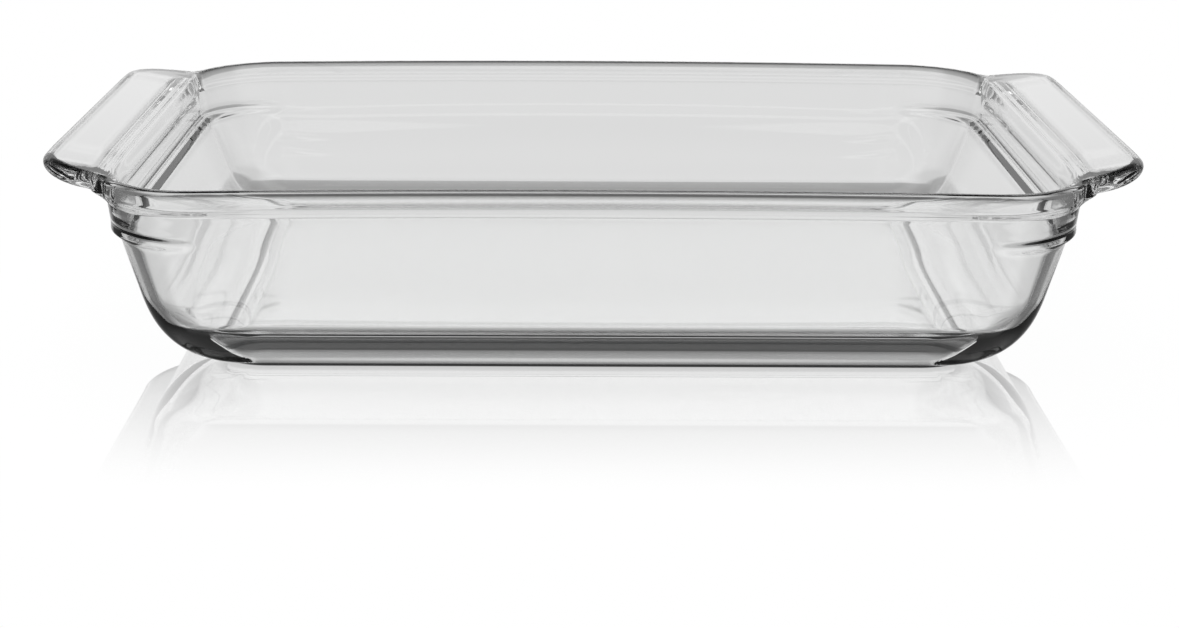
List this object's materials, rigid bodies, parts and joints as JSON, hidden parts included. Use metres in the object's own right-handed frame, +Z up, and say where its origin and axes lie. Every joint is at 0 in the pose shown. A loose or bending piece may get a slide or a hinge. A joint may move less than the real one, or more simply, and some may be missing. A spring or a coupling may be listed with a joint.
{
  "type": "lasagna dish",
  "caption": "Rectangular pressed-glass baking dish with rounded corners, a stepped collar and a tab handle at each short end",
  "frame": {"origin": "middle of the flat face that the dish stands on", "axes": "+X along the dish towards the right handle, +Y away from the viewer, +Z up out of the dish"},
  "size_m": [0.3796, 0.228, 0.0702],
  "materials": {
    "clear_glass": "clear pressed glass, smooth and polished"
  },
  "bodies": {
    "root": {"bowl": "clear_glass", "rim": "clear_glass", "left_handle": "clear_glass", "right_handle": "clear_glass"}
  },
  "joints": []
}
